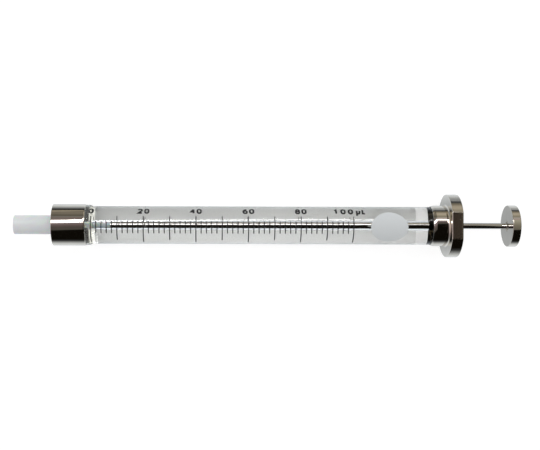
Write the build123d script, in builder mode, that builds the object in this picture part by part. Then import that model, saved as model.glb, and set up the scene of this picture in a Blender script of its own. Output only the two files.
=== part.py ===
from build123d import *
import os
from math import cos, radians, sin

# A 100 microlitre gas-tight glass syringe, lying on a table with its scale up.
# Millimetres. X runs along the barrel towards the plunger button, +Z is up, and
# the origin is under the middle of the syringe, on the level of the finger
# flange's lower flat. Places along the barrel are measured from the zero mark.

# Scale and bore
scale_length = 60.0
full_volume = 100.0
volume_step = 2.0
bore_radius = (full_volume / (3.14159265 * scale_length)) ** 0.5
step_length = scale_length * volume_step / full_volume

# Glass barrel
glass_radius = 4.4
glass_front = -6.45
glass_rear = 81.4
glass_edge = 0.2

# Front tip, a plastic spigot with a head that the collar clamps to the glass
tip_front = -18.1
tip_radius = 2.2
tip_neck_radius = 2.4
tip_head_radius = 4.36
tip_head_length = 2.0
tip_stem_radius = 0.72
tip_stem_gap = 0.05
tip_channel_radius = 0.5
stem_channel_radius = 0.3
tip_edge = 0.2

# Front collar, a thin turned shell
collar_radius = 4.8
collar_front = -9.05
collar_rear = -1.36
collar_lip = collar_front + 0.6
collar_edge = 0.18
collar_rear_bevel = 0.35
collar_hole_radius = 2.44

# Bead of cement where the glass leaves the collar
cement_radius = 4.68
cement_shoulder = -0.55
cement_end = 0.35
cement_slope = 0.04
cement_round = 0.6
cement_toe = 0.11

# Rear flange, one turned piece with a neck that the glass is cemented into
neck_front = 78.3
neck_front_radius = 4.5
neck_cone_end = 79.0
neck_radius = 4.71
neck_root_fillet = 0.35
flange_front = 81.9
flange_rear = 84.5
flange_radius = 7.3
flange_across_flats = 13.24
flange_edge = 0.28
rod_hole_radius = 0.76
rod_hole_mouth = 0.4

# Plunger
rod_radius = 0.7
seal_radius = 0.708
seal_front = 0.0
seal_rear = 4.2
seal_edge = 0.1
rod_nose_radius = 0.4
rod_nose_front = 1.2
button_front = 96.3
button_rear = 98.2
button_radius = 4.8
button_edge = 0.22
button_recess_radius = 1.2
button_recess_depth = 0.25
button_socket_depth = 1.3

# Printed marks, fused on the glass
print_thickness = 0.03
line_width = 0.24
short_line = (12.0, -25.0)
medium_line = (27.0, -50.0)
long_line = (27.0, -61.0)
back_line = (-180.5, -188.5)
back_line_width = 0.14
steps_per_medium = 5
steps_per_long = 10
backing_front = 0.3
backing_rear = 75.5
backing_half_angle = 40.0
backing_thickness = 0.06
numeral_height = 1.65
numeral_width = 1.22
numeral_stroke = 0.42
numeral_gap = 0.25
numeral_angle = 46.5
hundred_right = 60.0
hundred_gap = 0.48
tail_length = 0.4
unit_left = 60.65
unit_gap = 0.3
label_middle = 68.2
label_length = 8.5
label_height = 6.75
label_angle = -6.0

# Frame
axis_height = flange_across_flats / 2
middle = (tip_front + button_rear) / 2
barrel_axis = Axis((0, 0, axis_height), (1, 0, 0))

os.makedirs("parts", exist_ok=True)


def at(place):
    """X of a place measured from the zero mark."""
    return place - middle


def section_plane(place=0.0, angle=0.0):
    """Half section: local x along the barrel, local y outwards at the angle from straight up."""
    turn = radians(angle)
    return Plane(
        origin=(at(place), 0, axis_height),
        x_dir=(1, 0, 0),
        z_dir=(0, -cos(turn), sin(turn)),
    )


def surface_plane(place, angle):
    """Plane that touches the glass at an angle from straight up, with its y round the glass."""
    turn = radians(angle)
    return Plane(
        origin=(at(place), glass_radius * sin(turn), axis_height + glass_radius * cos(turn)),
        x_dir=(1, 0, 0),
        z_dir=(0, sin(turn), cos(turn)),
    )


# Glass barrel: a thick tube with a fine bore and fire-polished ends
with BuildPart() as glass_barrel:
    with BuildSketch(section_plane()):
        with BuildLine():
            Polyline(
                (glass_front, bore_radius),
                (glass_front, glass_radius - glass_edge),
                (glass_front + glass_edge, glass_radius),
                (glass_rear - glass_edge, glass_radius),
                (glass_rear, glass_radius - glass_edge),
                (glass_rear, bore_radius),
                close=True,
            )
        make_face()
    revolve(axis=barrel_axis)
glass_barrel.part.label = "glass_barrel"
export_step(glass_barrel.part, "parts/glass_barrel.step")

# Tip: spigot, a thicker neck where it passes the collar's lip, clamped head, and a stem that
# fills the bore up to the zero mark
head_front = glass_front - tip_head_length
with BuildPart() as luer_tip:
    with BuildSketch(section_plane()):
        with BuildLine():
            Polyline(
                (tip_front, tip_channel_radius),
                (tip_front, tip_radius - tip_edge),
                (tip_front + tip_edge, tip_radius),
                (collar_front, tip_radius),
                (collar_front, tip_neck_radius),
                (head_front, tip_neck_radius),
                (head_front, tip_head_radius),
                (glass_front, tip_head_radius),
                (glass_front, tip_stem_radius),
                (-tip_stem_gap, tip_stem_radius),
                (-tip_stem_gap, stem_channel_radius),
                (glass_front, stem_channel_radius),
                (glass_front - stem_channel_radius, tip_channel_radius),
                close=True,
            )
        make_face()
    revolve(axis=barrel_axis)
luer_tip.part.label = "luer_tip"
export_step(luer_tip.part, "parts/luer_tip.step")

# Front collar: the lip holds the tip's head, the skirt is cemented to the glass
with BuildPart() as front_collar:
    with BuildSketch(section_plane()):
        with BuildLine():
            Polyline(
                (collar_front, collar_hole_radius),
                (collar_front, collar_radius - collar_edge),
                (collar_front + collar_edge, collar_radius),
                (collar_rear - collar_rear_bevel, collar_radius),
                (collar_rear, cement_radius),
                (collar_rear, glass_radius),
                (collar_lip, glass_radius),
                (collar_lip, collar_hole_radius),
                close=True,
            )
        make_face()
    revolve(axis=barrel_axis)
front_collar.part.label = "front_collar"
export_step(front_collar.part, "parts/front_collar.step")

# Rear flange: round with two opposite flats, so that the syringe lies scale up
with BuildPart() as rear_flange:
    with BuildSketch(section_plane()):
        with BuildLine():
            Polyline(
                (neck_front, glass_radius),
                (neck_front, neck_front_radius),
                (neck_cone_end, neck_radius),
                (flange_front, neck_radius),
                (flange_front, flange_radius),
                (flange_rear, flange_radius),
                (flange_rear, rod_hole_radius),
                (glass_rear, rod_hole_radius),
                (glass_rear, glass_radius),
                close=True,
            )
        make_face()
    revolve(axis=barrel_axis)
    with BuildSketch(Plane.YZ.offset(at(neck_front))):
        with Locations((0, axis_height)):
            Rectangle(4 * flange_radius, flange_across_flats)
    extrude(amount=flange_rear - neck_front, mode=Mode.INTERSECT)
    flange_faces = rear_flange.faces().filter_by(Axis.X).sort_by(SortBy.AREA)[-2:]
    rim_edges = [edge for face in flange_faces for edge in face.outer_wire().edges()]
    chamfer(rim_edges, length=flange_edge)
    mouth_edge = (
        rear_flange.edges()
        .filter_by(GeomType.CIRCLE)
        .filter_by(lambda edge: abs(edge.radius - rod_hole_radius) < 1e-3)
        .sort_by(Axis.X)[-1]
    )
    chamfer(mouth_edge, length=rod_hole_mouth)
    root_edge = (
        rear_flange.edges()
        .filter_by(GeomType.CIRCLE)
        .filter_by(lambda edge: abs(edge.radius - neck_radius) < 1e-3)
        .sort_by(Axis.X)[-1]
    )
    fillet(root_edge, radius=neck_root_fillet)
rear_flange.part.label = "rear_flange"
export_step(rear_flange.part, "parts/rear_flange.step")

# Plunger rod: a ground wire with a thinner nose for the seal
with BuildPart() as plunger_rod:
    with BuildSketch(section_plane()):
        with BuildLine():
            Polyline(
                (rod_nose_front, 0),
                (rod_nose_front, rod_nose_radius),
                (seal_rear, rod_nose_radius),
                (seal_rear, rod_radius),
                (button_front + button_socket_depth, rod_radius),
                (button_front + button_socket_depth, 0),
                close=True,
            )
        make_face()
    revolve(axis=barrel_axis)
plunger_rod.part.label = "plunger_rod"
export_step(plunger_rod.part, "parts/plunger_rod.step")

# Plunger seal: a soft plastic sleeve pressed on the rod's nose
with BuildPart() as plunger_seal:
    with BuildSketch(section_plane()):
        with BuildLine():
            Polyline(
                (seal_front, 0),
                (seal_front, seal_radius - seal_edge),
                (seal_front + seal_edge, seal_radius),
                (seal_rear, seal_radius),
                (seal_rear, rod_nose_radius),
                (rod_nose_front, rod_nose_radius),
                (rod_nose_front, 0),
                close=True,
            )
        make_face()
    revolve(axis=barrel_axis)
plunger_seal.part.label = "plunger_seal"
export_step(plunger_seal.part, "parts/plunger_seal.step")

# Plunger button: a turned disc with a shallow recess round the rod
with BuildPart() as plunger_button:
    with BuildSketch(Plane.YZ.offset(at(button_front))):
        with Locations((0, axis_height)):
            Circle(button_radius)
    extrude(amount=button_rear - button_front)
    button_rims = plunger_button.edges().filter_by(GeomType.CIRCLE)
    chamfer(button_rims, length=button_edge)
    inner_face = plunger_button.faces().sort_by(Axis.X)[0]
    with BuildSketch(inner_face):
        Circle(button_recess_radius)
    extrude(amount=-button_recess_depth, mode=Mode.SUBTRACT)
    with BuildSketch(inner_face):
        Circle(rod_radius)
    extrude(amount=-button_socket_depth, mode=Mode.SUBTRACT)
plunger_button.part.label = "plunger_button"
export_step(plunger_button.part, "parts/plunger_button.step")


def line_arcs(step):
    """Start, end and width of a step's lines round the glass, in degrees from straight up and in mm."""
    if step % steps_per_long == 0:
        return [(*long_line, line_width), (*back_line, back_line_width)]
    if step % steps_per_medium == 0:
        return [(*medium_line, line_width)]
    return [(*short_line, line_width)]


# Graduations: a line every 2 microlitres, a longer one every 10 and the longest every 20, which
# has a thin short line behind it on the back of the glass
step_count = round(full_volume / volume_step)
with BuildPart() as scale_marks:
    for step in range(step_count + 1):
        for first, last, width in line_arcs(step):
            with BuildSketch(section_plane(step * step_length, first)):
                with Locations((0, glass_radius + print_thickness / 2)):
                    Rectangle(width, print_thickness)
            revolve(axis=barrel_axis, revolution_arc=first - last)
scale_marks.part.label = "scale_marks"
export_step(scale_marks.part, "parts/scale_marks.step")

# White strip along the back of the glass, printed over the lines there
with BuildPart() as white_backing:
    with BuildSketch(section_plane(backing_front, 180 + backing_half_angle)):
        with Locations(((backing_rear - backing_front) / 2, glass_radius + backing_thickness / 2)):
            Rectangle(backing_rear - backing_front, backing_thickness)
    revolve(axis=barrel_axis, revolution_arc=2 * backing_half_angle)
    add(scale_marks.part, mode=Mode.SUBTRACT)
white_backing.part.label = "white_backing"
export_step(white_backing.part, "parts/white_backing.step")


half_width = (numeral_width - numeral_stroke) / 2
half_height = (numeral_height - numeral_stroke) / 2


def ring(middle_height, across, up):
    """Rounded ring one stroke wide, given its centre line's half sizes."""
    turn = 90 if up > across else 0
    for grow, mode in ((numeral_stroke, Mode.ADD), (-numeral_stroke, Mode.SUBTRACT)):
        with Locations((0, middle_height)):
            SlotOverall(2 * max(across, up) + grow, 2 * min(across, up) + grow, rotation=turn, mode=mode)


def zero_glyph():
    """Plain 0."""
    with BuildSketch(mode=Mode.PRIVATE) as glyph:
        ring(0, half_width, half_height)
    return glyph.sketch


def one_glyph():
    """Plain 1 with a short flag."""
    with BuildSketch(mode=Mode.PRIVATE) as glyph:
        with BuildLine():
            Polyline((0.1, -half_height), (0.1, half_height), (-0.25, half_height * 0.5))
        trace(line_width=numeral_stroke)
    return glyph.sketch


def two_glyph():
    """Plain 2: a bow, a slant and a foot."""
    with BuildSketch(mode=Mode.PRIVATE) as glyph:
        with BuildLine():
            bow = ThreePointArc(
                (-half_width, half_height * 0.45),
                (0, half_height),
                (half_width * 0.75, half_height * 0.1),
            )
            Polyline(bow @ 1, (-half_width, -half_height), (half_width, -half_height))
        trace(line_width=numeral_stroke)
    return glyph.sketch


def four_glyph():
    """Plain 4: stem, slant and bar."""
    with BuildSketch(mode=Mode.PRIVATE) as glyph:
        with BuildLine():
            Line((half_width * 0.45, -half_height), (half_width * 0.45, half_height))
        trace(line_width=numeral_stroke)
        with BuildLine():
            Polyline(
                (half_width * 0.3, half_height),
                (-half_width, -half_height * 0.35),
                (half_width, -half_height * 0.35),
            )
        trace(line_width=numeral_stroke)
    return glyph.sketch


def six_glyph():
    """Plain 6: a bowl and a back."""
    with BuildSketch(mode=Mode.PRIVATE) as glyph:
        ring(-half_height * 0.42, half_width, half_height * 0.58)
        with BuildLine():
            ThreePointArc(
                (half_width * 0.8, half_height * 0.9),
                (-half_width * 0.55, half_height * 0.6),
                (-half_width, -half_height * 0.4),
            )
        trace(line_width=numeral_stroke)
    return glyph.sketch


def eight_glyph():
    """Plain 8: a small bowl on a larger one."""
    with BuildSketch(mode=Mode.PRIVATE) as glyph:
        ring(half_height * 0.5, half_width * 0.85, half_height * 0.5)
        ring(-half_height * 0.48, half_width, half_height * 0.52)
    return glyph.sketch


def micro_glyph():
    """Small mu: a cup with a long left stem."""
    with BuildSketch(mode=Mode.PRIVATE) as glyph:
        with BuildLine():
            Line((-half_width * 0.8, -numeral_height / 2 - tail_length), (-half_width * 0.8, half_height * 0.5))
        trace(line_width=numeral_stroke)
        with BuildLine():
            cup = ThreePointArc(
                (-half_width * 0.8, -half_height * 0.5),
                (0, -half_height),
                (half_width * 0.8, -half_height * 0.5),
            )
            Line(cup @ 1, (half_width * 0.8, half_height * 0.5))
        trace(line_width=numeral_stroke)
    return glyph.sketch


def litre_glyph():
    """Capital L."""
    with BuildSketch(mode=Mode.PRIVATE) as glyph:
        with BuildLine():
            Polyline(
                (-half_width * 0.7, half_height),
                (-half_width * 0.7, -half_height),
                (half_width * 0.7, -half_height),
            )
        trace(line_width=numeral_stroke)
    return glyph.sketch


pitch = numeral_width + numeral_gap
glyph_places = [(0.0, zero_glyph())]
for tens, glyph in ((20, two_glyph()), (40, four_glyph()), (60, six_glyph()), (80, eight_glyph())):
    line_place = tens * scale_length / full_volume
    glyph_places.append((line_place - pitch / 2, glyph))
    glyph_places.append((line_place + pitch / 2, zero_glyph()))
last_zero = hundred_right - numeral_width / 2
hundred_pitch = numeral_width + hundred_gap
glyph_places.append((last_zero, zero_glyph()))
glyph_places.append((last_zero - hundred_pitch, zero_glyph()))
glyph_places.append((last_zero - 2 * hundred_pitch, one_glyph()))
micro_place = unit_left + numeral_width * 0.4
glyph_places.append((micro_place, micro_glyph()))
glyph_places.append((micro_place + numeral_width * 0.8 + unit_gap, litre_glyph()))

# Numerals, pressed down on the round glass
with BuildPart() as scale_numerals:
    for place, glyph in glyph_places:
        with BuildSketch(surface_plane(place, numeral_angle)):
            add(glyph)
        extrude(amount=numeral_height / 2, both=True)
    with BuildSketch(Plane.YZ.offset(at(glass_front))):
        with Locations((0, axis_height)):
            Circle(glass_radius + print_thickness)
            Circle(glass_radius, mode=Mode.SUBTRACT)
    extrude(amount=glass_rear - glass_front, mode=Mode.INTERSECT)
scale_numerals.part.label = "scale_numerals"
export_step(scale_numerals.part, "parts/scale_numerals.step")

# Cement bead in the corner between the collar and the glass, laid over the print
with BuildPart() as front_cement:
    with BuildSketch(section_plane()):
        with BuildLine():
            Line((collar_rear, glass_radius), (collar_rear, cement_radius))
            Line((collar_rear, cement_radius), (cement_shoulder, cement_radius - cement_slope))
            Line(
                (cement_shoulder, cement_radius - cement_slope),
                (cement_shoulder + cement_round, glass_radius + cement_toe),
            )
            Line((cement_shoulder + cement_round, glass_radius + cement_toe), (cement_end, glass_radius))
            Line((cement_end, glass_radius), (collar_rear, glass_radius))
        make_face()
    revolve(axis=barrel_axis)
    add(scale_marks.part, mode=Mode.SUBTRACT)
    add(scale_numerals.part, mode=Mode.SUBTRACT)
front_cement.part.label = "front_cement"
export_step(front_cement.part, "parts/front_cement.step")

# Plain oval patch behind the scale
with BuildPart() as label_patch:
    with BuildSketch(surface_plane(label_middle, label_angle)):
        Ellipse(label_length / 2, label_height / 2)
    extrude(amount=glass_radius / 2, both=True)
    with BuildSketch(Plane.YZ.offset(at(label_middle - label_length))):
        with Locations((0, axis_height)):
            Circle(glass_radius + print_thickness)
            Circle(glass_radius, mode=Mode.SUBTRACT)
    extrude(amount=2 * label_length, mode=Mode.INTERSECT)
label_patch.part.label = "label_patch"
export_step(label_patch.part, "parts/label_patch.step")
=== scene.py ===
import logging
import math
from dataclasses import dataclass, field
from enum import Enum
from typing import Callable, ClassVar, Iterable, Sequence

import bpy
from bpy.types import Material, Mesh, MeshPolygon, Node, NodeSocket as Socket, NodeTree, Object
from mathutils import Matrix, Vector


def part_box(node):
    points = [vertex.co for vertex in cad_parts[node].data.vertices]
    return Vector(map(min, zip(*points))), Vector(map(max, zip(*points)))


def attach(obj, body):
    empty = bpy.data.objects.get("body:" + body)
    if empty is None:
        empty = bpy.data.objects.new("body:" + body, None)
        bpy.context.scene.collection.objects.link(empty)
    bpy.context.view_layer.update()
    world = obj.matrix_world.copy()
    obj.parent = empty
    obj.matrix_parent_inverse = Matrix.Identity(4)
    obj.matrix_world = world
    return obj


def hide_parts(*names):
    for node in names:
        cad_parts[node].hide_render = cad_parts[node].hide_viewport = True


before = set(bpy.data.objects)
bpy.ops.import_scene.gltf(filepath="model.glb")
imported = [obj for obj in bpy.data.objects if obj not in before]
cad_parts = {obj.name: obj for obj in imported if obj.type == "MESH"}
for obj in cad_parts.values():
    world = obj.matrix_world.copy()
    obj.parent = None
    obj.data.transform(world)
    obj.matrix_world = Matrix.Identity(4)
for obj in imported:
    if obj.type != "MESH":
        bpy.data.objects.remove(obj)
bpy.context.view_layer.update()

MM = 0.001
BARREL = "barrel"
PLUNGER = "plunger"
LOG = logging.getLogger("syringe")

Colour = tuple[float, float, float]
Point = tuple[float, float]
Span = tuple[float, float, float, float]


class Slot(Enum):
    """Material slots of the record. Each piece names one."""

    GLASS = "glass"
    PLASTIC = "white_plastic"
    PLATING = "plated_metal"
    WIRE = "steel_wire"
    CEMENT = "cement"
    BLACK_PRINT = "black_print"
    WHITE_PRINT = "white_print"
    PALE_PRINT = "pale_print"


class Nodes:
    """A node tree with short calls for adding and joining its nodes."""

    def __init__(self, tree: NodeTree) -> None:
        """Take hold of a tree and empty it."""
        self.tree = tree
        tree.nodes.clear()

    def add(self, kind: str, **values: object) -> Node:
        """Add a node.

        Args:
            kind: Blender's name of the node's type.
            values: properties of the node.

        Returns:
            The new node.
        """
        node = self.tree.nodes.new(kind)
        for name, value in values.items():
            setattr(node, name, value)
        return node

    def join(self, source: Socket, target: Socket) -> None:
        """Link two sockets."""
        self.tree.links.new(source, target)

    def math(self, operation: str, first: object, second: object = 0.0) -> Socket:
        """Add a Math node.

        Args:
            operation: what it does.
            first: a socket or a number.
            second: a socket or a number.

        Returns:
            Its output.
        """
        node = self.add("ShaderNodeMath", operation=operation)
        for socket, value in zip(node.inputs, (first, second)):
            self.feed(socket, value)
        return node.outputs[0]

    def times(self, first: object, second: object) -> Socket:
        """Multiply two sockets or numbers."""
        return self.math("MULTIPLY", first, second)

    def line(self, value: object, slope: object, start: float) -> Socket:
        """Give a value times a slope, plus a start."""
        return self.math("ADD", self.times(value, slope), start)

    def leave(self, kind: str, surface: Socket) -> None:
        """Add an output node and link the surface to it."""
        self.join(surface, self.add(kind).inputs["Surface"])

    def feed(self, socket: Socket, value: object) -> None:
        """Link a socket to another, or set its value.

        Args:
            socket: the input.
            value: an output socket, or what the input is set to.
        """
        if isinstance(value, Socket):
            self.join(value, socket)
        else:
            socket.default_value = value

    def fill(self, node: Node, entries: dict[str, object]) -> None:
        """Link or set several inputs of a node by name."""
        for name, value in entries.items():
            self.feed(node.inputs[name], value)

    def spread(self, value: object, low: float, high: float, to_low: float, to_high: float) -> Socket:
        """Add a smooth Map Range node.

        Args:
            value: the socket that is mapped.
            low: input at the low end.
            high: input at the high end.
            to_low: output at the low end.
            to_high: output at the high end.

        Returns:
            Its output.
        """
        node = self.add("ShaderNodeMapRange", interpolation_type="SMOOTHSTEP")
        ends = {"From Min": low, "From Max": high, "To Min": to_low, "To Max": to_high}
        self.fill(node, {"Value": value, **ends})
        return node.outputs["Result"]

    def blend(self, amount: object, first: object, second: object) -> Socket:
        """Mix two colours.

        Args:
            amount: share of the second.
            first: a socket or a colour.
            second: a socket or a colour.

        Returns:
            The mixed colour.
        """
        node = self.add("ShaderNodeMix", data_type="RGBA")
        self.feed(node.inputs["Factor"], amount)
        for name, entry in (("A", first), ("B", second)):
            socket = next(s for s in node.inputs if s.name == name and s.type == "RGBA")
            self.feed(socket, (*entry, 1.0) if isinstance(entry, tuple) else entry)
        return next(s for s in node.outputs if s.type == "RGBA")

    def ramp(self, value: object, stops: Sequence[tuple[float, Colour]]) -> Socket:
        """Add a Color Ramp.

        Args:
            value: the socket that is looked up.
            stops: places from 0 to 1, each with its colour.

        Returns:
            The colour.
        """
        node = self.add("ShaderNodeValToRGB")
        self.feed(node.inputs["Fac"], value)
        elements = node.color_ramp.elements
        for index, (place, colour) in enumerate(stops):
            element = elements[index] if index < 2 else elements.new(place)
            element.position = place
            element.color = (*colour, 1.0)
        return node.outputs["Color"]

    def noise(self, vector: Socket, scale: object, detail: float) -> Socket:
        """Add a Noise Texture and give its grey output."""
        node = self.add("ShaderNodeTexNoise")
        self.fill(node, {"Vector": vector, "Scale": scale, "Detail": detail})
        return node.outputs["Fac"]


class Effect:
    """A shader node group that several finishes share. It is built the first time it is asked for."""

    name = "effect"

    @classmethod
    def tree(cls) -> NodeTree:
        """Give the group, built once."""
        found = bpy.data.node_groups.get(cls.name)
        if found is None:
            found = bpy.data.node_groups.new(cls.name, "ShaderNodeTree")
            cls.build(found)
        return found

    @staticmethod
    def socket(tree: NodeTree, name: str, leads: str, value: float | None = None) -> None:
        """Add a socket for a number to the group's face.

        Args:
            tree: the group.
            name: the socket's name.
            leads: IN or OUT.
            value: what an input starts at.
        """
        made = tree.interface.new_socket(name, in_out=leads + "PUT", socket_type="NodeSocketFloat")
        if value is not None:
            made.default_value = value

    @classmethod
    def build(cls, tree: NodeTree) -> None:
        """Fill the group in."""
        raise NotImplementedError


class TurningLines(Effect):
    """Fine rings left by a lathe, broken up round the axis, as a height and a mask."""

    name = "turning_lines"
    MARK_SHARE = 0.012
    PATCHES_PER_MM = 0.25
    GRAIN_DETAIL = 3.0
    PATCH_DETAIL = 4.0
    CONTRAST = (0.35, 0.65, 0.0, 1.0)

    @classmethod
    def build(cls, tree: NodeTree) -> None:
        """Fill the group in."""
        cls.socket(tree, "Rings per mm", "IN", 9.0)
        cls.socket(tree, "Unevenness", "IN", 0.5)
        cls.socket(tree, "Height", "OUT")
        cls.socket(tree, "Mask", "OUT")
        nodes = Nodes(tree)
        entry = nodes.add("NodeGroupInput")
        leave = nodes.add("NodeGroupOutput")
        place = nodes.add("ShaderNodeTexCoord").outputs["Object"]
        along = nodes.times(entry.outputs["Rings per mm"], 1.0 / MM)
        across = nodes.times(along, cls.MARK_SHARE)
        stretch = nodes.add("ShaderNodeCombineXYZ")
        nodes.fill(stretch, {"X": along, "Y": across, "Z": across})
        rings = nodes.add("ShaderNodeMapping")
        nodes.fill(rings, {"Vector": place, "Scale": stretch.outputs["Vector"]})
        grain = nodes.noise(rings.outputs["Vector"], 1.0, cls.GRAIN_DETAIL)
        patches = nodes.noise(place, cls.PATCHES_PER_MM / MM, cls.PATCH_DETAIL)
        uneven = nodes.times(patches, entry.outputs["Unevenness"])
        rest = nodes.math("SUBTRACT", 1.0, entry.outputs["Unevenness"])
        weight = nodes.math("ADD", uneven, rest)
        nodes.join(nodes.times(grain, weight), leave.inputs["Height"])
        nodes.join(nodes.spread(patches, *cls.CONTRAST), leave.inputs["Mask"])


class Mottle(Effect):
    """Soft cloudy variation with fine specks, for plastic, print and cement."""

    name = "mottle"
    CONTRAST = (0.3, 0.7, 0.0, 1.0)

    @classmethod
    def build(cls, tree: NodeTree) -> None:
        """Fill the group in."""
        cls.socket(tree, "Cloud mm", "IN", 2.0)
        cls.socket(tree, "Speck mm", "IN", 0.08)
        cls.socket(tree, "Cloud", "OUT")
        cls.socket(tree, "Specks", "OUT")
        nodes = Nodes(tree)
        entry = nodes.add("NodeGroupInput")
        leave = nodes.add("NodeGroupOutput")
        place = nodes.add("ShaderNodeTexCoord").outputs["Object"]
        for size, target, detail in (("Cloud mm", "Cloud", 3.0), ("Speck mm", "Specks", 2.0)):
            noise = nodes.noise(place, nodes.math("DIVIDE", 1.0 / MM, entry.outputs[size]), detail)
            nodes.join(nodes.spread(noise, *cls.CONTRAST), leave.inputs[target])


@dataclass(frozen=True)
class Finish:
    """What every finish shares: a shader, and an effect that varies its colour, gloss and relief.

    Attributes:
        name: the material's name.
        colour: base colour.
        roughness: mean roughness.
        flecks: how much the colour varies.
        relief: depth of the relief, in metres.
        effect: the shared effect.
        sizes: size of its clouds and specks, in mm.
        masks: its outputs for the colour, the roughness and the relief.
        gloss: low and high end of the roughness mask, and the roughness there as shares of the mean.
    """

    name: str
    colour: Colour
    roughness: float
    flecks: float = 0.06
    relief: float = 0.0
    effect: ClassVar[type[Effect]] = Mottle
    sizes: ClassVar[Point] = (1.0, 0.1)
    masks: ClassVar[tuple[str, str, str]] = ("Cloud", "Specks", "Specks")
    gloss: ClassVar[Span] = (0.0, 1.0, 0.7, 1.3)

    def make(self) -> Material:
        """Build the material, or give it again."""
        found = bpy.data.materials.get(self.name)
        if found is not None:
            return found
        material = bpy.data.materials.new(self.name)
        material.use_nodes = True
        nodes = Nodes(material.node_tree)
        shader = nodes.add("ShaderNodeBsdfPrincipled")
        nodes.leave("ShaderNodeOutputMaterial", shader.outputs["BSDF"])
        nodes.fill(shader, self.settings())
        group = nodes.add("ShaderNodeGroup", node_tree=self.effect.tree())
        nodes.fill(group, self.pattern())
        tone, grain, height = (group.outputs[name] for name in self.masks)
        dark = tuple(part * (1.0 - self.flecks) for part in self.colour)
        nodes.join(nodes.blend(tone, self.colour, dark), shader.inputs["Base Color"])
        low, high, smooth, rough = self.gloss
        uneven = nodes.spread(grain, low, high, self.roughness * smooth, self.roughness * rough)
        nodes.join(uneven, shader.inputs["Roughness"])
        if self.relief > 0.0:
            bump = nodes.add("ShaderNodeBump")
            nodes.fill(bump, {"Strength": 1.0, "Distance": self.relief, "Height": height})
            nodes.join(bump.outputs["Normal"], shader.inputs["Normal"])
        return material

    def settings(self) -> dict[str, float]:
        """Give the shader's plain inputs."""
        return {}

    def pattern(self) -> dict[str, float]:
        """Give the effect's inputs."""
        cloud, speck = self.sizes
        return {"Cloud mm": cloud, "Speck mm": speck}


@dataclass(frozen=True)
class Plating(Finish):
    """Bright plating or ground metal, with fine turning lines.

    Attributes:
        rings: turning lines per mm.
        unevenness: how much their depth varies.
    """

    rings: float = 7.0
    unevenness: float = 0.6
    effect = TurningLines
    masks = ("Mask", "Height", "Height")
    gloss = (0.2, 0.8, 0.7, 1.3)

    def settings(self) -> dict[str, float]:
        """Give the shader's plain inputs."""
        return {"Metallic": 1.0}

    def pattern(self) -> dict[str, float]:
        """Give the effect's inputs."""
        return {"Rings per mm": self.rings, "Unevenness": self.unevenness}


@dataclass(frozen=True)
class Clear(Finish):
    """Clear glass or cement.

    Attributes:
        clear: share of the light that goes through.
        bend: index of refraction.
    """

    clear: float = 1.0
    bend: float = 1.474
    sizes = (6.0, 0.5)
    gloss = (0.0, 1.0, 0.5, 1.0)

    def settings(self) -> dict[str, float]:
        """Give the shader's plain inputs."""
        return {"Transmission Weight": self.clear, "IOR": self.bend}


@dataclass(frozen=True)
class Cement(Clear):
    """Clear hard cement, a little cloudy. It hardly bends the light, so the glass behind stays in view."""

    clear: float = 0.93
    bend: float = 1.08
    relief: float = 2e-6
    sizes = (0.6, 0.15)
    masks = ("Cloud", "Specks", "Cloud")
    gloss = (0.0, 1.0, 0.7, 1.3)


@dataclass(frozen=True)
class Plastic(Finish):
    """Waxy white plastic that lets a little light in.

    Attributes:
        milk: share of the light that goes in.
        depth: how far it goes, in metres.
    """

    milk: float = 0.5
    depth: float = 1.2 * MM
    relief: float = 1e-6
    sizes = (2.5, 0.12)
    gloss = (0.0, 1.0, 0.85, 1.15)

    def settings(self) -> dict[str, float]:
        """Give the shader's plain inputs."""
        return {"Subsurface Weight": self.milk, "Subsurface Scale": self.depth}


@dataclass(frozen=True)
class Print(Finish):
    """Print fused on the glass, with a slightly uneven coat.

    Attributes:
        shine: specular level, nothing for the flat pale prints.
    """

    shine: float = 0.5
    sizes = (0.8, 0.06)
    masks = ("Specks", "Cloud", "Cloud")
    gloss = (0.0, 1.0, 0.8, 1.2)

    def settings(self) -> dict[str, float]:
        """Give the shader's plain inputs."""
        return {"Specular IOR Level": self.shine}


class Finishes:
    """The finishes of the syringe."""

    NICKEL = Plating("bright_nickel", (0.66, 0.62, 0.56), 0.06, 0.06, relief=1.2e-7)
    MILLED = Plating("milled_nickel", (0.66, 0.60, 0.54), 0.13, 0.08, rings=5.0, relief=3e-7)
    GROUND_WIRE = Plating("ground_wire", (0.62, 0.61, 0.59), 0.05, 0.06, rings=12.0, relief=1e-8)
    BARREL_GLASS = Clear("barrel_glass", (0.985, 0.992, 0.988), 0.004, 0.006)
    WHITE_PLASTIC = Plastic("waxy_plastic", (0.80, 0.835, 0.85), 0.42, 0.03)
    SEAL_PLASTIC = Plastic("seal_plastic", (0.40, 0.43, 0.45), 0.35, 0.03)
    CLEAR_CEMENT = Cement("clear_cement", (0.90, 0.90, 0.86), 0.04, 0.08)
    BLACK = Print("black_enamel", (0.022, 0.022, 0.025), 0.35, 0.3)
    WHITE = Print("white_enamel", (0.82, 0.82, 0.81), 0.5, 0.03, shine=0.0)
    PALE = Print("pale_enamel", (0.71, 0.735, 0.745), 0.5, 0.03, shine=0.0)


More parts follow.
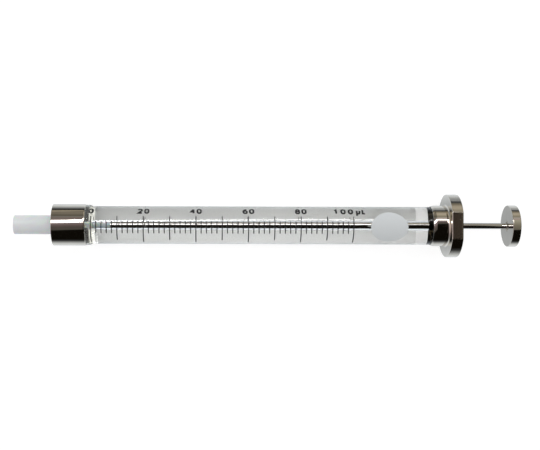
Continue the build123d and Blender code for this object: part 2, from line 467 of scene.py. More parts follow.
class Bench:
    """Modelling steps that the sub-assemblies share.

    SIDES is how many sides a ring has if nothing else is said. WELD is how close corners are joined, in metres.
    Edges sharper than SHARP degrees stay sharp on a rounded piece.
    """

    SIDES = 192
    WELD = 1e-8
    SHARP = 40.0

    @staticmethod
    def begin() -> None:
        """Leave edit mode and select nothing."""
        if bpy.context.object is not None and bpy.context.object.mode != "OBJECT":
            bpy.ops.object.mode_set(mode="OBJECT")
        bpy.ops.object.select_all(action="DESELECT")

    @staticmethod
    def pick(obj: Object, kind: str, test: Callable[[Vector], bool]) -> None:
        """Select the corners or edges of a mesh that pass a test with all their corners.

        Args:
            obj: the mesh's object, in edit mode when this is called.
            kind: VERT or EDGE.
            test: says of a corner whether it is wanted.
        """
        bpy.ops.mesh.select_mode(type=kind)
        bpy.ops.object.mode_set(mode="OBJECT")
        mesh = obj.data
        for group in (mesh.vertices, mesh.edges, mesh.polygons):
            group.foreach_set("select", [False] * len(group))
        for item in mesh.vertices if kind == "VERT" else mesh.edges:
            corners = [item.index] if kind == "VERT" else item.vertices
            item.select = all(test(mesh.vertices[index].co) for index in corners)
        bpy.ops.object.mode_set(mode="EDIT")

    @staticmethod
    def finish(obj: Object, smooth_angle: float = 32.0) -> None:
        """Weld doubles, turn faces outwards and shade the piece.

        Args:
            obj: the piece, in edit mode.
            smooth_angle: edges sharper than this stay sharp, in degrees.
        """
        bpy.ops.mesh.select_all(action="SELECT")
        bpy.ops.mesh.remove_doubles(threshold=Bench.WELD)
        bpy.ops.mesh.normals_make_consistent(inside=False)
        bpy.ops.object.mode_set(mode="OBJECT")
        bpy.ops.object.select_all(action="DESELECT")
        obj.select_set(True)
        bpy.context.view_layer.objects.active = obj
        bpy.ops.object.transform_apply()
        Bench.smooth(obj, smooth_angle)

    @staticmethod
    def smooth(obj: Object, angle: float) -> None:
        """Shade a piece smooth, with the normals of its large faces left true.

        Args:
            obj: the piece, active and in object mode.
            angle: edges sharper than this stay sharp, in degrees.
        """
        bpy.ops.object.shade_smooth_by_angle(angle=math.radians(angle))
        even = obj.modifiers.new("even_normals", "WEIGHTED_NORMAL")
        even.keep_sharp = True
        even.weight = 100
        bpy.ops.object.modifier_apply(modifier=even.name)

    @staticmethod
    def soften(obj: Object, width: float, steps: int = 3, angle: float = 30.0) -> None:
        """Round the edges of a piece with a Bevel modifier and apply it.

        Args:
            obj: the piece, active and in object mode.
            width: the bevel's width, in metres.
            steps: its segments.
            angle: edges sharper than this are rounded, in degrees.
        """
        bevel = obj.modifiers.new("rounding", "BEVEL")
        bevel.width = width
        bevel.segments = steps
        bevel.limit_method = "ANGLE"
        bevel.angle_limit = math.radians(angle)
        bpy.ops.object.modifier_apply(modifier=bevel.name)
        Bench.smooth(obj, Bench.SHARP)

    @classmethod
    def turn(
        cls, name: str, section: Sequence[Point], axis: float, closed: bool, sides: int = 0,
    ) -> Object:
        """Turn a piece about the barrel's axis, ring by ring.

        Args:
            name: the new piece's name.
            section: points (x, radius) in metres, from ring to ring.
            axis: height of the axis.
            closed: the last ring joins the first, as in a tube. Otherwise both ends are capped.
            sides: how many sides the rings have.

        Returns:
            The piece, left in edit mode.
        """
        cls.begin()
        (start, radius), *others = section
        bpy.ops.mesh.primitive_circle_add(
            vertices=sides or cls.SIDES, radius=radius, fill_type="NOTHING" if closed else "NGON",
            location=(start, 0.0, axis), rotation=(0.0, math.pi / 2, 0.0),
        )
        obj = bpy.context.object
        obj.name = name
        bpy.ops.object.transform_apply()
        bpy.ops.object.mode_set(mode="EDIT")
        bpy.ops.mesh.select_all(action="SELECT")
        before = (start, radius)
        rings = [*others, section[0]] if closed else others
        for here, size in rings:
            bpy.ops.mesh.extrude_region_move(TRANSFORM_OT_translate={"value": (here - before[0], 0.0, 0.0)})
            if size != before[1]:
                ratio = size / before[1]
                bpy.ops.transform.resize(value=(1.0, ratio, ratio), center_override=(here, 0.0, axis))
            before = (here, size)
        if not closed:
            bpy.ops.mesh.edge_face_add()
        return obj


@dataclass
class Piece:
    """Where a finished mesh goes.

    Attributes:
        obj: the mesh's object.
        body: the body that it rides on.
        slot: its material slot.
        finish: what it is made of.
        stands_for: the nodes that it replaces.
        second: finish of some of its faces.
        second_faces: says of a face whether it has that second finish.
    """

    obj: Object
    body: str
    slot: Slot
    finish: Finish
    stands_for: tuple[str, ...] = ()
    second: Finish | None = None
    second_faces: Callable[[MeshPolygon], bool] | None = None

    def settle(self) -> None:
        """Dress the piece, fix it to its body and report it."""
        self.obj.data.materials.clear()
        self.obj.data.materials.append(self.finish.make())
        if self.second is not None:
            self.obj.data.materials.append(self.second.make())
            for face in self.obj.data.polygons:
                face.material_index = int(self.second_faces(face))
        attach(self.obj, self.body)
        if self.stands_for:
            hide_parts(*self.stands_for)
        LOG.info("%s: %d faces, on %s", self.obj.name, len(self.obj.data.polygons), self.body)


@dataclass
class Stations:
    """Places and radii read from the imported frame, in metres.

    Attributes:
        glass: box of the glass, by which the other pieces are placed.
        axis: height of the barrel's axis.
    """

    glass: tuple[Vector, Vector] = field(init=False)
    axis: float = field(init=False)

    def __post_init__(self) -> None:
        """Read the box of the glass."""
        self.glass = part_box("glass_barrel")
        self.axis = (self.glass[0].z + self.glass[1].z) / 2

    @staticmethod
    def span(node: str) -> tuple[float, float]:
        """Give where a node starts and ends along the barrel."""
        low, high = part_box(node)
        return low.x, high.x

    @staticmethod
    def radius(node: str) -> float:
        """Give a node's largest radius about the axis."""
        low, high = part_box(node)
        return (high.y - low.y) / 2


@dataclass
class Barrel:
    """Glass barrel with its tip, collar, cement and finger flange."""

    stations: Stations
    bore: float = 0.7284 * MM
    glass_edge: float = 0.3 * MM
    print_gap: float = 0.018 * MM
    print_thickness: float = 0.03 * MM
    tip_radius: float = 2.2 * MM
    tip_channel: float = 0.5 * MM
    stem_channel: float = 0.3 * MM
    stem_radius: float = 0.72 * MM
    tip_head: float = 2.0 * MM
    tip_neck: float = 2.4 * MM
    tip_edge: float = 0.12 * MM
    collar_wall: float = 0.4 * MM
    collar_lip: float = 0.6 * MM
    collar_hole: float = 2.44 * MM
    collar_bevel: float = 0.35 * MM
    collar_rear_radius: float = 4.68 * MM
    collar_edge: float = 0.09 * MM
    bead_shoulder: float = 0.81 * MM
    bead_slope: float = 0.04 * MM
    bead_hollow: float = 1.8
    bead_steps: int = 6
    neck_front_radius: float = 4.5 * MM
    neck_radius: float = 4.71 * MM
    neck_cone: float = 0.7 * MM
    neck_length: float = 3.6 * MM
    neck_root: float = 0.35 * MM
    root_steps: int = 12
    true_edge: float = 0.03 * MM
    flange_edge: float = 0.28 * MM
    edge_steps: int = 8
    edge_profile: float = 0.6
    flange_sharp: float = 13.0
    on_face: float = 1e-6
    past_flat: float = 1e-9
    flat_level: float = 0.999
    rod_hole: float = 0.76 * MM
    rod_hole_mouth: float = 0.4 * MM

    def build(self) -> None:
        """Model and dress every piece of the barrel."""
        self.glass_tube()
        self.tip()
        self.collar()
        self.bead()
        self.flange()
        self.backing()
        self.printing()

    def glass_tube(self) -> None:
        """Thick tube with fire-polished ends."""
        front, rear = self.stations.span("glass_barrel")
        outside = self.stations.radius("glass_barrel") - self.print_gap
        section = [(front, self.bore), (front, outside), (rear, outside), (rear, self.bore)]
        tube = Bench.turn("barrel_glass", section, self.stations.axis, closed=True, sides=256)
        Bench.finish(tube)
        Bench.soften(tube, self.glass_edge, steps=5, angle=60.0)
        Piece(tube, BARREL, Slot.GLASS, Finishes.BARREL_GLASS, ("glass_barrel",)).settle()

    def tip(self) -> None:
        """Plastic spigot with its head and stem."""
        front, stem_end = self.stations.span("luer_tip")
        seat = self.stations.glass[0].x
        head = seat - self.tip_head
        outside = self.stations.radius("luer_tip")
        lip = self.stations.span("front_collar")[0]
        section = [
            (front, self.tip_channel), (front, self.tip_radius), (lip, self.tip_radius), (lip, self.tip_neck),
            (head, self.tip_neck), (head, outside),
            (seat, outside), (seat, self.stem_radius), (stem_end, self.stem_radius),
            (stem_end, self.stem_channel), (seat, self.stem_channel),
            (seat - self.stem_channel, self.tip_channel),
        ]
        spigot = Bench.turn("spigot_tip", section, self.stations.axis, closed=True)
        Bench.finish(spigot)
        Bench.soften(spigot, self.tip_edge, steps=4, angle=50.0)
        Piece(spigot, BARREL, Slot.PLASTIC, Finishes.WHITE_PLASTIC, ("luer_tip",)).settle()

    def collar(self) -> None:
        """Turned shell that holds the tip on the glass."""
        front, rear = self.stations.span("front_collar")
        outside = self.stations.radius("front_collar")
        inside = outside - self.collar_wall
        section = [
            (front, self.collar_hole), (front, outside), (rear - self.collar_bevel, outside),
            (rear, self.collar_rear_radius), (rear, inside),
            (front + self.collar_lip, inside), (front + self.collar_lip, self.collar_hole),
        ]
        shell = Bench.turn("collar_shell", section, self.stations.axis, closed=True)
        Bench.finish(shell)
        Bench.soften(shell, self.collar_edge)
        Piece(shell, BARREL, Slot.PLATING, Finishes.NICKEL, ("front_collar",)).settle()

    def bead(self) -> None:
        """Cement bead with a hollow slope down to the glass."""
        front, rear = self.stations.span("front_cement")
        outside = self.stations.radius("front_cement")
        inside = self.stations.radius("glass_barrel")
        shoulder = front + self.bead_shoulder
        height = outside - self.bead_slope - inside
        section = [(front, inside), (front, outside), (shoulder, inside + height)]
        for step in range(1, self.bead_steps + 1):
            share = step / self.bead_steps
            drop = (1.0 - share) ** self.bead_hollow
            section.append((shoulder + (rear - shoulder) * share, inside + height * drop))
        bead = Bench.turn("cement_bead", section, self.stations.axis, closed=True)
        Bench.finish(bead, 50.0)
        Piece(bead, BARREL, Slot.CEMENT, Finishes.CLEAR_CEMENT, ("front_cement",)).settle()

    def flange(self) -> None:
        """Neck and finger flange, turned in one piece, with two flats milled on it."""
        low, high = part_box("rear_flange")
        front, rear = low.x, high.x
        axis = self.stations.axis
        radius = self.stations.radius("rear_flange")
        face = front + self.neck_length
        seat = self.stations.glass[1].x
        glass = self.stations.radius("glass_barrel")
        section = [
            (front, glass), (front, self.neck_front_radius), (front + self.neck_cone, self.neck_radius),
            (front + self.neck_cone + self.true_edge, self.neck_radius),
            (face - self.neck_root - self.true_edge, self.neck_radius),
            (face - self.neck_root, self.neck_radius),
        ]
        for step in range(1, self.root_steps + 1):
            turn = math.pi / 2 * step / self.root_steps
            section.append((
                face - self.neck_root + self.neck_root * math.sin(turn),
                self.neck_radius + self.neck_root * (1.0 - math.cos(turn)),
            ))
        section += [
            (face, radius), (rear, radius), (rear, self.rod_hole + self.rod_hole_mouth),
            (rear - self.rod_hole_mouth, self.rod_hole), (seat, self.rod_hole), (seat, glass),
        ]
        obj = Bench.turn("finger_flange", section, axis, closed=True, sides=256)
        flats = ((low.z, -1.0), (high.z, 1.0))
        for height, side in flats:
            bpy.ops.mesh.select_all(action="SELECT")
            bpy.ops.mesh.bisect(
                plane_co=(0.0, 0.0, height), plane_no=(0.0, 0.0, side), use_fill=True, clear_outer=True,
                threshold=Bench.WELD,
            )
        Bench.finish(obj)
        bpy.ops.object.mode_set(mode="EDIT")
        Bench.pick(obj, "EDGE", lambda corner: (
            min(abs(corner.x - face), abs(corner.x - rear)) < self.on_face and (
                math.hypot(corner.y, corner.z - axis) > radius - self.on_face
                or min(abs(corner.z - low.z), abs(corner.z - high.z)) < self.on_face
            )
        ))
        bpy.ops.mesh.bevel(offset=self.flange_edge, segments=self.edge_steps, profile=self.edge_profile)
        for height, side in flats:
            Bench.pick(obj, "VERT", lambda corner: side * corner.z > side * height + self.past_flat)
            bpy.ops.transform.resize(value=(1.0, 1.0, 0.0), center_override=(0.0, 0.0, height))
        Bench.finish(obj, self.flange_sharp)
        clear_of_neck = self.neck_radius + MM
        Piece(
            obj, BARREL, Slot.PLATING, Finishes.NICKEL, ("rear_flange",), Finishes.MILLED,
            lambda face: abs(face.normal.z) > self.flat_level and abs(face.center.z - axis) > clear_of_neck,
        ).settle()

    def backing(self) -> None:
        """White strip along the back of the glass, spun from a flat section."""
        low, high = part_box("white_backing")
        axis = self.stations.axis
        radius = axis - low.z
        half = math.asin((high.y - low.y) / 2 / radius)
        inside = self.stations.radius("glass_barrel") + self.print_thickness
        Bench.begin()
        middle = ((low.x + high.x) / 2, 0.0, axis - (radius + inside) / 2)
        bpy.ops.mesh.primitive_plane_add(size=1.0, location=middle)
        obj = bpy.context.object
        obj.name = "backing_print"
        obj.scale = (high.x - low.x, radius - inside, 1.0)
        obj.rotation_euler = (math.pi / 2, 0.0, 0.0)
        bpy.ops.object.transform_apply()
        obj.rotation_euler = (-half, 0.0, 0.0)
        obj.location = (0.0, -math.sin(half) * axis, axis - math.cos(half) * axis)
        bpy.ops.object.transform_apply()
        bpy.ops.object.mode_set(mode="EDIT")
        bpy.ops.mesh.select_all(action="SELECT")
        bpy.ops.mesh.spin(steps=64, angle=-2 * half, center=(0.0, 0.0, axis), axis=(1.0, 0.0, 0.0))
        Bench.finish(obj, 30.0)
        Piece(obj, BARREL, Slot.WHITE_PRINT, Finishes.WHITE, ("white_backing",)).settle()

    def printing(self) -> None:
        """Dress the prints, whose shape the frame holds."""
        for node, finish, slot in (
            ("scale_marks", Finishes.BLACK, Slot.BLACK_PRINT),
            ("scale_numerals", Finishes.BLACK, Slot.BLACK_PRINT),
            ("label_patch", Finishes.PALE, Slot.PALE_PRINT),
        ):
            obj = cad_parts[node]
            obj.data.materials.clear()
            obj.data.materials.append(finish.make())
            LOG.info("%s: dressed", node)


@dataclass
class Plunger:
    """Wire plunger with its seal and button."""

    stations: Stations
    nose_radius: float = 0.4 * MM
    nose_length: float = 3.0 * MM
    recess_radius: float = 1.2 * MM
    recess_depth: float = 0.25 * MM
    socket_depth: float = 1.3 * MM
    rod_edge: float = 0.05 * MM
    seal_edge: float = 0.08 * MM
    button_edge: float = 0.176 * MM

    def build(self) -> None:
        """Model and dress every piece of the plunger."""
        self.rod()
        self.seal()
        self.button()

    def rod(self) -> None:
        """Ground wire with a thinner nose."""
        front, rear = self.stations.span("plunger_rod")
        radius = self.stations.radius("plunger_rod")
        section = [
            (front, self.nose_radius), (front + self.nose_length, self.nose_radius),
            (front + self.nose_length, radius), (rear, radius),
        ]
        wire = Bench.turn("plunger_wire", section, self.stations.axis, closed=False, sides=96)
        Bench.finish(wire)
        Bench.soften(wire, self.rod_edge, angle=50.0)
        Piece(wire, PLUNGER, Slot.WIRE, Finishes.GROUND_WIRE, ("plunger_rod",)).settle()

    def seal(self) -> None:
        """Plastic sleeve on the nose of the wire."""
        front, rear = self.stations.span("plunger_seal")
        radius = self.stations.radius("plunger_seal")
        nose = self.stations.span("plunger_rod")[0]
        section = [(front, radius), (rear, radius), (rear, self.nose_radius), (nose, self.nose_radius)]
        sleeve = Bench.turn("seal_sleeve", section, self.stations.axis, closed=False, sides=96)
        Bench.finish(sleeve)
        Bench.soften(sleeve, self.seal_edge, angle=50.0)
        Piece(sleeve, PLUNGER, Slot.PLASTIC, Finishes.SEAL_PLASTIC, ("plunger_seal",)).settle()

    def button(self) -> None:
        """Turned disc with a recess round the wire."""
        front, rear = self.stations.span("plunger_button")
        radius = self.stations.radius("plunger_button")
        wire = self.stations.radius("plunger_rod")
        section = [
            (rear, radius), (front, radius), (front, self.recess_radius),
            (front + self.recess_depth, self.recess_radius), (front + self.recess_depth, wire),
            (front + self.socket_depth, wire),
        ]
        disc = Bench.turn("thumb_button", section, self.stations.axis, closed=False)
        Bench.finish(disc)
        Bench.soften(disc, self.button_edge, steps=4, angle=50.0)
        Piece(disc, PLUNGER, Slot.PLATING, Finishes.NICKEL, ("plunger_button",)).settle()


class Sight:
    """Masks for how a ray came to a surface.

    camera: straight from it. through: straight through glass. mirror: off metal or glass. inner: off glass from
    inside. behind: out again at the far side of glass. Depths are whole numbers, so each mask turns half way
    between two of them.
    """

    def __init__(self, nodes: Nodes) -> None:
        """Read the Light Path node.

        Args:
            nodes: the tree that the masks are used in.
        """
        path = nodes.add("ShaderNodeLightPath").outputs
        plain = nodes.math("LESS_THAN", path["Diffuse Depth"], 0.5)
        direct = nodes.math("LESS_THAN", path["Glossy Depth"], 0.5)
        self.camera = path["Is Camera Ray"]
        straight = nodes.times(plain, direct)
        self.through = nodes.times(path["Is Transmission Ray"], straight)
        moved = nodes.math("MAXIMUM", path["Is Reflection Ray"], path["Is Transmission Ray"])
        bounced = nodes.times(plain, nodes.math("SUBTRACT", 1.0, direct))
        self.mirror = nodes.times(bounced, moved)
        crossed = path["Transmission Depth"]
        self.behind = nodes.math("GREATER_THAN", crossed, 2.5)
        twice = nodes.math("SUBTRACT", nodes.math("GREATER_THAN", crossed, 1.5), self.behind)
        self.inner = nodes.times(twice, self.mirror)


@dataclass
class Studio:
    """Floor, soft light and surroundings.

    Across and along are a direction's parts across and along the barrel, divided by its upward part. A span is
    two inputs and the outputs there.

    Attributes:
        side_turn: where the soft light turns from its dim to its bright side, as the direction's part across.
        dim_side: how bright the room is for matt things on the side away from the numerals.
        bright_side: how bright it is for them on the numerals' side.
        glass_lift: how much brighter the soft light is behind glass, on the dim and the bright side.
        ribbon_strength: how bright the strip is that metal and glass mirror.
        ribbon_height: how high it hangs.
        ribbon: its middle line and width, as (x, y, width) in mm.
        ribbon_ends: spans of its brightness by x, in metres.
        lowest: least upward part that a direction is taken to have.
        lit_room: colours of the room beyond the strip, by degrees from straight up.
        lit_gain: spans of how bright those colours are, by along.
        black_room: colour of the dark part of the room.
        dark_edge: slope and start of that part's edge, which lies across by along.
        dark_drop: span that lowers the edge beyond the flange, by along.
        dark_blur: span of the edge, by the share of the way to the strip.
        strip_edge: slope and start of the strip's near edge, across by along.
        strip_blur: span from under the strip to the lit room, across from that edge.
        least_way: least distance from the dark part to the strip.
        under_strip: colours from the edge of the dark part up to the strip.
        olive_room: the same further along, as the button mirrors them.
        olive_start: span from the one to the other, by along.
        brown_room: colour of the part straight ahead of the flange's flat.
        ahead: where that part lies, along.
        ahead_along: span of that part, along from its middle.
        ahead_across: span of that part, across from its middle.
        floor_half: half the floor's width.
        floor_matt: how much light the floor gives back, and how much less where the camera or a mirror sees it.
        floor_glow: the floor's own light in the camera's view and through glass.
        floor_tint: colour of the floor in what metal and glass mirror.
        painted_floor_reflection: painted brightness of the floor's mirror image, by mm from the barrel's line:
            a painted shadow near the line, then fading further off.
        fade_reach: how far that goes, in metres.
        lift_along: span by which the far floor's mirror image is brighter beside the flange, by x in metres.
        lift_away: span of that from the barrel's line, in shares of the reach.
        glass_side: brightness of the floor in what glass mirrors from inside.
    """

    side_turn: Point = (-0.14, 0.12)
    dim_side: float = 0.62
    bright_side: float = 0.96
    glass_lift: Point = (1.1, 3.1)
    ribbon_strength: float = 17.0
    ribbon_height: float = 0.507
    ribbon: tuple[tuple[float, float, float], ...] = (
        (-170.0, 135.0, 175.0), (-142.0, 160.0, 165.0), (-118.0, 178.0, 160.0), (-112.0, 192.0, 125.0),
        (-50.0, 254.0, 85.0), (-7.0, 300.0, 85.0), (14.0, 321.0, 85.0), (68.0, 350.0, 82.0),
        (112.0, 366.0, 78.0), (150.0, 364.0, 80.0), (193.0, 356.0, 85.0), (230.0, 350.0, 85.0),
    )
    ribbon_ends: tuple[Span, ...] = (
        (-0.122, -0.102, 0.2, 1.0), (0.128, 0.148, 1.0, 0.22), (0.197, 0.213, 1.0, 0.0),
    )
    lowest: float = 0.03
    lit_room: tuple[tuple[float, Colour], ...] = (
        (28.0, (0.30, 0.26, 0.25)), (40.0, (0.24, 0.20, 0.19)), (46.0, (0.27, 0.26, 0.24)),
        (52.0, (0.15, 0.14, 0.115)), (58.0, (0.185, 0.17, 0.135)), (66.0, (0.26, 0.237, 0.19)),
        (75.0, (0.26, 0.237, 0.19)), (86.0, (0.10, 0.09, 0.07)), (93.0, (0.17, 0.16, 0.13)),
    )
    lit_gain: tuple[Span, Span] = ((-0.2, 0.4, 0.95, 2.1), (-1.3, -0.5, 3.0, 0.95))
    black_room: Colour = (0.0055, 0.0045, 0.0030)
    dark_edge: Point = (1.78, -0.257)
    dark_drop: Span = (0.275, 0.335, 0.0, 0.75)
    dark_blur: Span = (-0.06, 0.05, 0.0, 1.0)
    strip_edge: Point = (0.534, 0.394)
    strip_blur: Span = (0.06, 0.12, 0.0, 1.0)
    least_way: float = 0.05
    under_strip: tuple[tuple[float, Colour], ...] = (
        (0.0, (0.10, 0.095, 0.085)), (0.35, (0.11, 0.095, 0.09)), (0.55, (0.17, 0.135, 0.13)),
        (0.8, (0.31, 0.256, 0.278)), (1.0, (0.49, 0.43, 0.485)),
    )
    olive_room: tuple[tuple[float, Colour], ...] = (
        (0.0, (0.17, 0.16, 0.13)), (0.5, (0.28, 0.265, 0.21)), (1.0, (0.50, 0.49, 0.40)),
    )
    olive_start: Span = (0.285, 0.30, 0.0, 1.0)
    brown_room: Colour = (0.070, 0.050, 0.038)
    ahead: float = 0.268
    ahead_along: Span = (0.009, 0.016, 1.0, 0.0)
    ahead_across: Span = (0.025, 0.05, 1.0, 0.0)
    floor_half: float = 3.0
    floor_matt: tuple[float, float, float] = (0.9, 0.55, 0.9)
    floor_glow: Point = (0.80, 0.22)
    floor_tint: Colour = (0.93, 0.99, 1.04)
    # Painted brightness of the floor as metal and glass mirror it: lower within about 5 mm of the barrel's line
    # as a painted shadow, highest near 8 to 12 mm, fading further off.
    painted_floor_reflection: tuple[Point, ...] = (
        (0.0, 0.50), (5.0, 0.56), (8.5, 0.92), (12.0, 0.96), (16.0, 0.82), (21.0, 0.62), (31.0, 0.31),
        (53.0, 0.09), (75.0, 0.05), (100.0, 0.03),
    )
    fade_reach: float = 0.1
    lift_along: Span = (0.0, 0.04, 0.0, 1.4)
    lift_away: Span = (0.25, 0.45, 0.0, 1.0)
    glass_side: float = 0.85

    def build(self) -> None:
        """Set the whole studio up."""
        bpy.context.scene.view_settings.view_transform = "Standard"
        self.surroundings()
        self.floor()
        self.strip()

    def surroundings(self) -> None:
        """World: white behind, soft light on matt things, and a half dark room for what metal mirrors."""
        world = bpy.data.worlds.new("studio")
        bpy.context.scene.world = world
        world.use_nodes = True
        nodes = Nodes(world.node_tree)
        sight = Sight(nodes)
        way = nodes.add("ShaderNodeSeparateXYZ")
        nodes.join(nodes.add("ShaderNodeTexCoord").outputs["Generated"], way.inputs[0])
        x, y, z = way.outputs
        soft = nodes.spread(y, *self.side_turn, self.dim_side, self.bright_side)
        lift = nodes.math("SUBTRACT", nodes.spread(y, *self.side_turn, *self.glass_lift), 1.0)
        lift = nodes.line(lift, sight.behind, 1.0)
        straight = nodes.math("MAXIMUM", sight.camera, sight.through)
        plain = nodes.blend(straight, nodes.times(soft, lift), (1.0, 1.0, 1.0))
        shine = nodes.add("ShaderNodeBackground")
        nodes.join(nodes.blend(sight.mirror, plain, self.room(nodes, x, y, z)), shine.inputs["Color"])
        nodes.leave("ShaderNodeOutputWorld", shine.outputs["Background"])

    def room(self, nodes: Nodes, x: Socket, y: Socket, z: Socket) -> Socket:
        """Colour of the room by direction, as metal and glass mirror it.

        Args:
            nodes: the world's nodes.
            x: the direction's part along the barrel.
            y: its part across the barrel.
            z: its upward part.

        Returns:
            The colour.
        """
        up = nodes.math("MAXIMUM", z, self.lowest)
        across = nodes.math("DIVIDE", y, up)
        along = nodes.math("DIVIDE", x, up)
        angle = nodes.math("DIVIDE", nodes.math("ARCTAN2", y, z), math.pi)
        lit = nodes.ramp(angle, [(degrees / 180.0, colour) for degrees, colour in self.lit_room])
        gain = nodes.math("MAXIMUM", *(nodes.spread(along, *span) for span in self.lit_gain))
        strong = nodes.add("ShaderNodeVectorMath", operation="SCALE")
        nodes.join(lit, strong.inputs[0])
        nodes.join(gain, strong.inputs["Scale"])
        edge = nodes.line(along, *self.dark_edge)
        edge = nodes.math("SUBTRACT", edge, nodes.spread(along, *self.dark_drop))
        strip = nodes.line(along, *self.strip_edge)
        gap = nodes.math("MAXIMUM", nodes.math("SUBTRACT", strip, edge), self.least_way)
        share = nodes.math("DIVIDE", nodes.math("SUBTRACT", across, edge), gap)
        further = nodes.spread(along, *self.olive_start)
        near = nodes.blend(further, nodes.ramp(share, self.under_strip), nodes.ramp(share, self.olive_room))
        low = nodes.blend(nodes.spread(share, *self.dark_blur), self.black_room, near)
        ahead = nodes.math("ABSOLUTE", nodes.math("SUBTRACT", along, self.ahead))
        level = nodes.spread(nodes.math("ABSOLUTE", across), *self.ahead_across)
        ahead = nodes.times(nodes.spread(ahead, *self.ahead_along), level)
        low = nodes.blend(ahead, low, self.brown_room)
        beyond = nodes.spread(nodes.math("SUBTRACT", across, strip), *self.strip_blur)
        return nodes.blend(beyond, low, strong.outputs[0])

    @staticmethod
    def stage_material(mesh: Mesh, name: str) -> tuple[Nodes, Sight, Socket, Socket]:
        """Give a mesh of the studio a new material.

        Args:
            mesh: the mesh.
            name: the material's name.

        Returns:
            The material's nodes and masks, and the x and y of the place that is shaded.
        """
        material = bpy.data.materials.new(name)
        material.use_nodes = True
        mesh.materials.append(material)
        nodes = Nodes(material.node_tree)
        place = nodes.add("ShaderNodeSeparateXYZ")
        nodes.join(nodes.add("ShaderNodeTexCoord").outputs["Object"], place.inputs[0])
        return nodes, Sight(nodes), place.outputs["X"], place.outputs["Y"]

    def floor(self) -> None:
        """Pale floor that looks white and keeps the shadow. Where metal and glass mirror it, it glows with
        painted light instead, with a painted shadow near the barrel's line, and fades further from the object.
        """
        Bench.begin()
        bpy.ops.mesh.primitive_plane_add(size=2 * self.floor_half, location=(0.0, 0.0, 0.0))
        obj = bpy.context.object
        obj.name = "floor"
        nodes, sight, x, y = self.stage_material(obj.data, "floor_white")
        # The floor's glow in mirrored rays is painted light: darker near the barrel's line as a painted shadow,
        # brighter beside the flange on one side, fading further off.
        away = nodes.math("DIVIDE", nodes.math("ABSOLUTE", y), self.fade_reach)
        stops = [(place * MM / self.fade_reach, (level, level, level)) for place, level in self.painted_floor_reflection]
        painted_reflection = nodes.ramp(away, stops)
        upper = nodes.math("GREATER_THAN", y, 0.0)
        lift = nodes.times(nodes.spread(x, *self.lift_along), upper)
        lift = nodes.times(lift, nodes.spread(away, *self.lift_away))
        painted_reflection = nodes.times(painted_reflection, nodes.math("ADD", lift, 1.0))
        near = nodes.times(sight.inner, nodes.math("SUBTRACT", 1.0, upper))
        painted_reflection = nodes.math("MAXIMUM", painted_reflection, nodes.times(near, self.glass_side))
        white, seen, mirrored = self.floor_matt
        colour = nodes.math("SUBTRACT", white, nodes.times(sight.camera, seen))
        colour = nodes.math("SUBTRACT", colour, nodes.times(sight.mirror, mirrored))
        glow = nodes.times(sight.mirror, painted_reflection)
        for mask, level in zip((sight.camera, sight.through), self.floor_glow):
            glow = nodes.math("ADD", glow, nodes.times(mask, level))
        matt = nodes.add("ShaderNodeBsdfDiffuse")
        nodes.join(colour, matt.inputs["Color"])
        shine = nodes.add("ShaderNodeEmission")
        nodes.join(nodes.blend(sight.mirror, (1.0, 1.0, 1.0), self.floor_tint), shine.inputs["Color"])
        nodes.join(glow, shine.inputs["Strength"])
        both = nodes.add("ShaderNodeAddShader")
        nodes.join(matt.outputs[0], both.inputs[0])
        nodes.join(shine.outputs[0], both.inputs[1])
        nodes.leave("ShaderNodeOutputMaterial", both.outputs[0])

    def strip(self) -> None:
        """Long curved strip of light over the barrel, which only metal and glass mirror."""
        mesh = bpy.data.meshes.new("strip")
        rims = [
            [(x * MM, (y + side * width / 2) * MM, self.ribbon_height) for x, y, width in self.ribbon]
            for side in (-1.0, 1.0)
        ]
        count = len(self.ribbon)
        faces = [(step, step + 1, count + step + 1, count + step) for step in range(count - 1)]
        mesh.from_pydata([*rims[0], *rims[1]], [], faces)
        obj = bpy.data.objects.new("strip", mesh)
        bpy.context.scene.collection.objects.link(obj)
        nodes, sight, x, _ = self.stage_material(mesh, "strip_light")
        level = nodes.times(nodes.math("SUBTRACT", 1.0, sight.inner), self.ribbon_strength)
        for span in self.ribbon_ends:
            level = nodes.times(level, nodes.spread(x, *span))
        shine = nodes.add("ShaderNodeEmission")
        nodes.join(nodes.times(level, sight.mirror), shine.inputs["Strength"])
        nodes.leave("ShaderNodeOutputMaterial", shine.outputs[0])
        mesh.materials[0].cycles.emission_sampling = "NONE"
        obj.visible_camera = False
        obj.visible_diffuse = False
        obj.visible_shadow = False


@dataclass
class Viewpoint:
    """Camera straight above the syringe, as in the photograph.

    Attributes:
        stations: places read from the frame.
        focal: focal length in pixels of the frame.
        frame_width: width of the frame, in pixels.
        sensor: width of the sensor, in mm.
        height: how high the lens is over the barrel's axis.
        foot: x of the point straight under the lens.
        side: y of that point.
        yaw: how far the view is turned towards the button, in degrees.
        shift: share of the frame's width that the lens is shifted by.
        roll: turn of the frame, in degrees.
        clip: nearest and furthest distance in view, in metres.
    """

    stations: Stations
    focal: float = 943.0
    frame_width: float = 540.0
    sensor: float = 36.0
    height: float = 219.0 * MM
    foot: float = -13.01 * MM
    side: float = 0.05 * MM
    yaw: float = 0.41
    shift: float = 0.10
    roll: float = 0.17
    clip: Point = (0.005, 50.0)

    def build(self) -> None:
        """Make the camera and use it."""
        data = bpy.data.cameras.new("viewpoint")
        data.lens = self.focal / self.frame_width * self.sensor
        data.sensor_width = self.sensor
        data.sensor_fit = "HORIZONTAL"
        data.shift_x = self.shift
        data.clip_start, data.clip_end = self.clip
        camera = bpy.data.objects.new("viewpoint", data)
        bpy.context.scene.collection.objects.link(camera)
        camera.location = (self.foot, self.side, self.stations.axis + self.height)
        camera.rotation_euler = (0.0, -math.radians(self.yaw), 0.0)
        camera.rotation_euler.rotate_axis("Z", math.radians(self.roll))
        bpy.context.scene.camera = camera


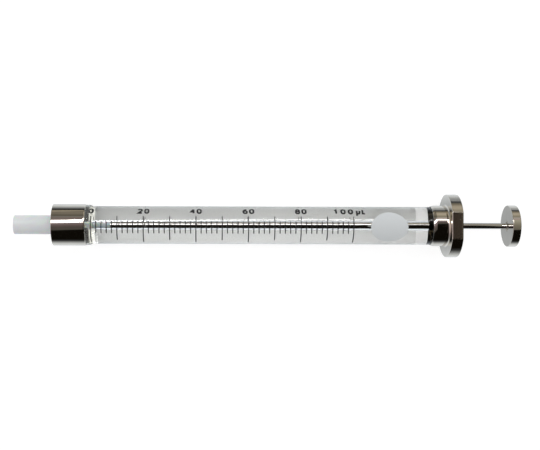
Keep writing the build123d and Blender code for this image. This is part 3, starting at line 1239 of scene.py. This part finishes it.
def main() -> None:
    """Build the syringe, its studio and the camera."""
    logging.basicConfig(level=logging.INFO, format="%(name)s: %(message)s")
    stations = Stations()
    for part in (Barrel(stations), Plunger(stations), Studio(), Viewpoint(stations)):
        part.build()
        LOG.info("%s built", type(part).__name__)
    Bench.begin()


if __name__ == "__main__":
    main()
